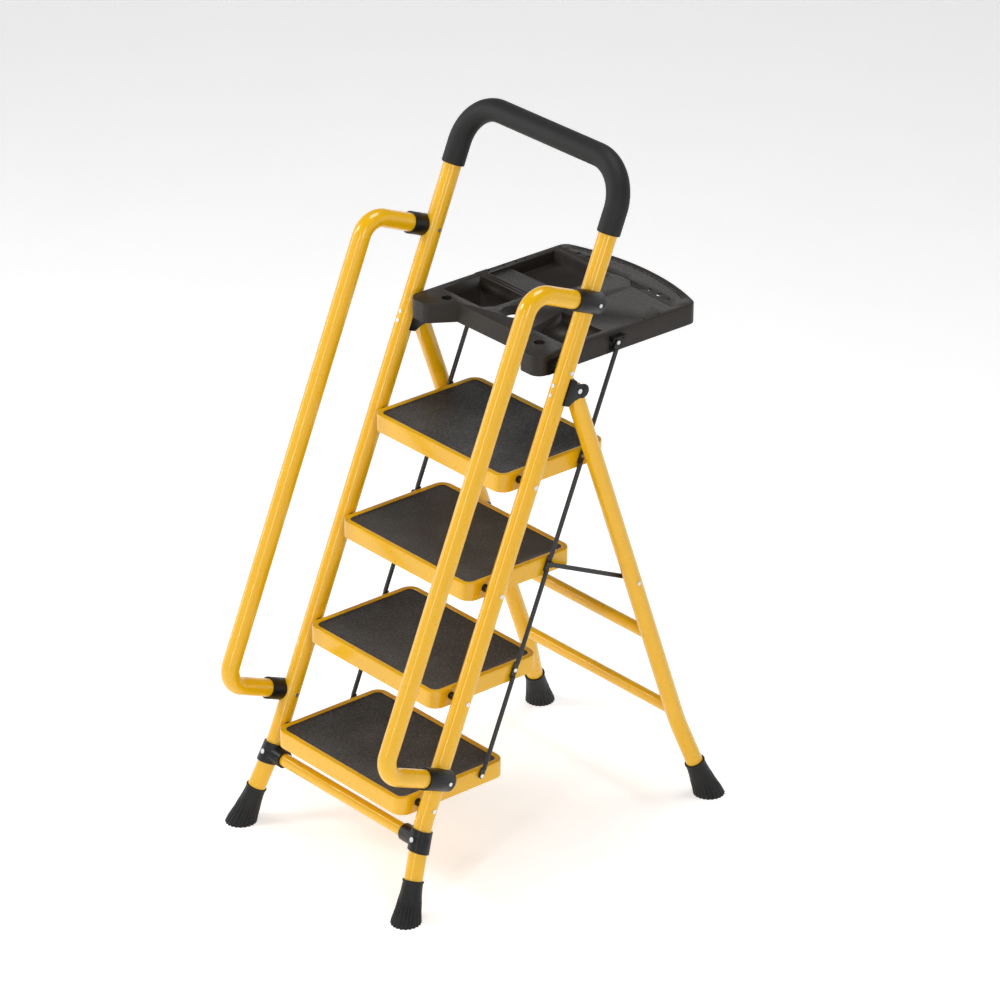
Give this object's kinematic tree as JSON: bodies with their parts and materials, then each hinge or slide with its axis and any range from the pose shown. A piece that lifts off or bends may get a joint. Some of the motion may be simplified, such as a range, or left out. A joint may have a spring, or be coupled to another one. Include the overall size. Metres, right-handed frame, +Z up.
{
  "type": "platform step ladder",
  "caption": "Folding platform step ladder with flat treads, side handrails, a foam-gripped top bow and a tool tray.",
  "frame": {"origin": "centre of the bounding box at floor level", "axes": "+X across the width, +Y to the rear (the climbing side is -Y), +Z up"},
  "size_m": [0.5958, 0.9018, 1.4697],
  "materials": {
    "yellow_paint": "glossy yellow powder-coat paint",
    "foam_grip": "dense black foam, matt",
    "black_plastic": "moulded black plastic, satin",
    "rubber_foot": "black rubber",
    "tread_pad": "dark grey ribbed anti-slip rubber",
    "tray_plastic": "dark brown-grey moulded plastic, fine texture",
    "zinc_rivet": "zinc-plated steel",
    "black_steel": "satin black paint on steel"
  },
  "bodies": {
    "front_frame": {"front_rail_left": "yellow_paint", "front_rail_right": "yellow_paint", "handle_bow": "yellow_paint", "handle_grip": "foam_grip", "handrail_left": "yellow_paint", "handrail_right": "yellow_paint", "handrail_clamp_upper_left": "black_plastic", "handrail_clamp_upper_right": "black_plastic", "handrail_clamp_lower_left": "black_plastic", "handrail_clamp_lower_right": "black_plastic", "front_crossbar": "yellow_paint", "crossbar_tee_left": "black_plastic", "crossbar_tee_right": "black_plastic", "front_foot_left": "rubber_foot", "front_foot_right": "rubber_foot", "leg_bracket_left": "black_plastic", "leg_bracket_right": "black_plastic", "step_pivot_pins": "zinc_rivet", "step_bushes": "black_plastic", "tray_pivot_pins": "zinc_rivet", "leg_pivot_pins": "zinc_rivet", "frame_rivets": "zinc_rivet"},
    "rear_frame": {"rear_leg_left": "yellow_paint", "rear_leg_right": "yellow_paint", "leg_end_left": "yellow_paint", "leg_end_right": "yellow_paint", "rear_crossbar_upper": "yellow_paint", "rear_crossbar_lower": "yellow_paint", "rear_foot_left": "rubber_foot", "rear_foot_right": "rubber_foot", "brace_pins": "zinc_rivet"},
    "step_1": {"step_pan_1": "yellow_paint", "step_pad_1": "tread_pad", "step_link_pins_1": "zinc_rivet"},
    "step_2": {"step_pan_2": "yellow_paint", "step_pad_2": "tread_pad", "step_link_pins_2": "zinc_rivet"},
    "step_3": {"step_pan_3": "yellow_paint", "step_pad_3": "tread_pad", "step_link_pins_3": "zinc_rivet"},
    "step_4": {"step_pan_4": "yellow_paint", "step_pad_4": "tread_pad", "step_link_pins_4": "zinc_rivet"},
    "tray": {"tool_tray": "tray_plastic", "tray_hinge_bosses": "black_plastic", "tray_link_brackets": "black_plastic", "tray_link_pins": "zinc_rivet"},
    "link_rod_left": {"link_rod_left": "black_steel"},
    "brace_left": {"brace_left": "black_steel"},
    "link_rod_right": {"link_rod_right": "black_steel"},
    "brace_right": {"brace_right": "black_steel"}
  },
  "joints": [
    {"name": "rear_fold", "type": "hinge", "parent": "front_frame", "child": "rear_frame", "pos_m": [0, 0.05096, 1.02099], "axis": [-1, 0, 0], "range_deg": [0, 36]},
    {"name": "step_1_fold", "type": "hinge", "parent": "front_frame", "child": "step_1", "pos_m": [0, -0.31346, 0.214], "axis": [1, 0, 0], "range_deg": [0, 43.44]},
    {"name": "step_2_fold", "type": "hinge", "parent": "front_frame", "child": "step_2", "pos_m": [0, -0.22777, 0.424], "axis": [1, 0, 0], "range_deg": [0, 43.44]},
    {"name": "step_3_fold", "type": "hinge", "parent": "front_frame", "child": "step_3", "pos_m": [0, -0.14207, 0.634], "axis": [1, 0, 0], "range_deg": [0, 43.44]},
    {"name": "step_4_fold", "type": "hinge", "parent": "front_frame", "child": "step_4", "pos_m": [0, -0.05637, 0.844], "axis": [1, 0, 0], "range_deg": [0, 43.44]},
    {"name": "tray_fold", "type": "hinge", "parent": "front_frame", "child": "tray", "pos_m": [0, 0.033, 1.063], "axis": [1, 0, 0], "range_deg": [0, 43.44]},
    {"name": "link_rod_left_turn", "type": "hinge", "parent": "step_3", "child": "link_rod_left", "pos_m": [0, 0.01993, 0.637], "axis": [-1, 0, 0], "range_deg": [0, 43.44]},
    {"name": "link_rod_right_turn", "type": "hinge", "parent": "step_3", "child": "link_rod_right", "pos_m": [0, 0.01993, 0.637], "axis": [-1, 0, 0], "range_deg": [0, 43.44]},
    {"name": "brace_left_turn", "type": "hinge", "parent": "rear_frame", "child": "brace_left", "pos_m": [0, 0.22153, 0.54461], "axis": [-1, 0, 0], "range_deg": [0, 46.38]},
    {"name": "brace_right_turn", "type": "hinge", "parent": "rear_frame", "child": "brace_right", "pos_m": [0, 0.22153, 0.54461], "axis": [-1, 0, 0], "range_deg": [0, 46.38]}
  ],
  "couplings": [
    {"joint": "step_1_fold", "follows": "rear_fold", "ratio": 1.2053},
    {"joint": "step_2_fold", "follows": "rear_fold", "ratio": 1.2053},
    {"joint": "step_3_fold", "follows": "rear_fold", "ratio": 1.2053},
    {"joint": "step_4_fold", "follows": "rear_fold", "ratio": 1.2053},
    {"joint": "tray_fold", "follows": "rear_fold", "ratio": 1.2053},
    {"joint": "link_rod_left_turn", "follows": "rear_fold", "ratio": 1.2053},
    {"joint": "link_rod_right_turn", "follows": "rear_fold", "ratio": 1.2053},
    {"joint": "brace_left_turn", "follows": "rear_fold", "ratio": 1.2869},
    {"joint": "brace_right_turn", "follows": "rear_fold", "ratio": 1.2869}
  ]
}
